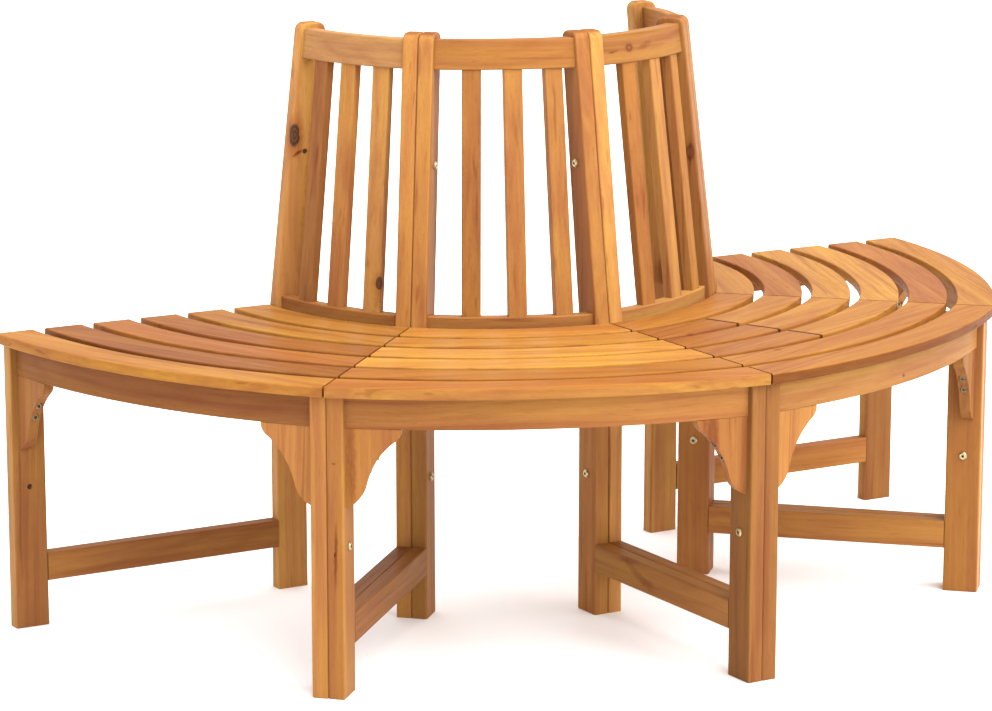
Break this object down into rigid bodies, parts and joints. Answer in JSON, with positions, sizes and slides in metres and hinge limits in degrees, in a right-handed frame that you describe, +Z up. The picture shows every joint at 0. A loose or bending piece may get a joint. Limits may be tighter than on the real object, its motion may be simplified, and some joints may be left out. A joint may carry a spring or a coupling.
{
  "type": "half-round tree bench",
  "caption": "Half-round wooden tree bench of bolted wedge modules, with curved slatted seats, aprons with shaped brackets, and slatted leaning backs around the trunk space.",
  "frame": {"origin": "centre of the bounding box on the ground plane; the ring centre is 0.4 m behind it at (0, 0.4, 0)", "axes": "+Z up, -Y towards the round outer seat edge, +X to the sitter's left as seen from the front"},
  "size_m": [1.6, 0.8, 0.858],
  "materials": {
    "seat_wood": "oiled, satin",
    "frame_wood": "oiled, satin",
    "zinc_plated_steel": "yellowish zinc plating, satin"
  },
  "bodies": {
    "root": {"front_leg_left_a": "frame_wood", "back_post_left_a": "frame_wood", "stretcher_left_a": "frame_wood", "bearer_left_a": "frame_wood", "front_leg_right_a": "frame_wood", "back_post_right_a": "frame_wood", "stretcher_right_a": "frame_wood", "bearer_right_a": "frame_wood", "front_apron_a": "frame_wood", "seat_slats_a": "seat_wood", "back_bottom_rail_a": "frame_wood", "back_top_rail_a": "frame_wood", "back_slats_a": "frame_wood", "corner_brackets_a": "frame_wood", "front_leg_left_b": "frame_wood", "back_post_left_b": "frame_wood", "stretcher_left_b": "frame_wood", "bearer_left_b": "frame_wood", "front_leg_right_b": "frame_wood", "back_post_right_b": "frame_wood", "stretcher_right_b": "frame_wood", "bearer_right_b": "frame_wood", "front_apron_b": "frame_wood", "seat_slats_b": "seat_wood", "back_bottom_rail_b": "frame_wood", "back_top_rail_b": "frame_wood", "back_slats_b": "frame_wood", "corner_brackets_b": "frame_wood", "front_leg_left_c": "frame_wood", "back_post_left_c": "frame_wood", "stretcher_left_c": "frame_wood", "bearer_left_c": "frame_wood", "front_leg_right_c": "frame_wood", "back_post_right_c": "frame_wood", "stretcher_right_c": "frame_wood", "bearer_right_c": "frame_wood", "front_apron_c": "frame_wood", "seat_slats_c": "seat_wood", "back_bottom_rail_c": "frame_wood", "back_top_rail_c": "frame_wood", "back_slats_c": "frame_wood", "corner_brackets_c": "frame_wood", "front_leg_left_d": "frame_wood", "back_post_left_d": "frame_wood", "stretcher_left_d": "frame_wood", "bearer_left_d": "frame_wood", "front_leg_right_d": "frame_wood", "back_post_right_d": "frame_wood", "stretcher_right_d": "frame_wood", "bearer_right_d": "frame_wood", "front_apron_d": "frame_wood", "seat_slats_d": "seat_wood", "back_bottom_rail_d": "frame_wood", "back_top_rail_d": "frame_wood", "back_slats_d": "frame_wood", "corner_brackets_d": "frame_wood", "joint_bolts": "zinc_plated_steel", "joint_nuts": "zinc_plated_steel", "bracket_screws": "zinc_plated_steel", "centre_bearer_c": "frame_wood"}
  },
  "joints": []
}
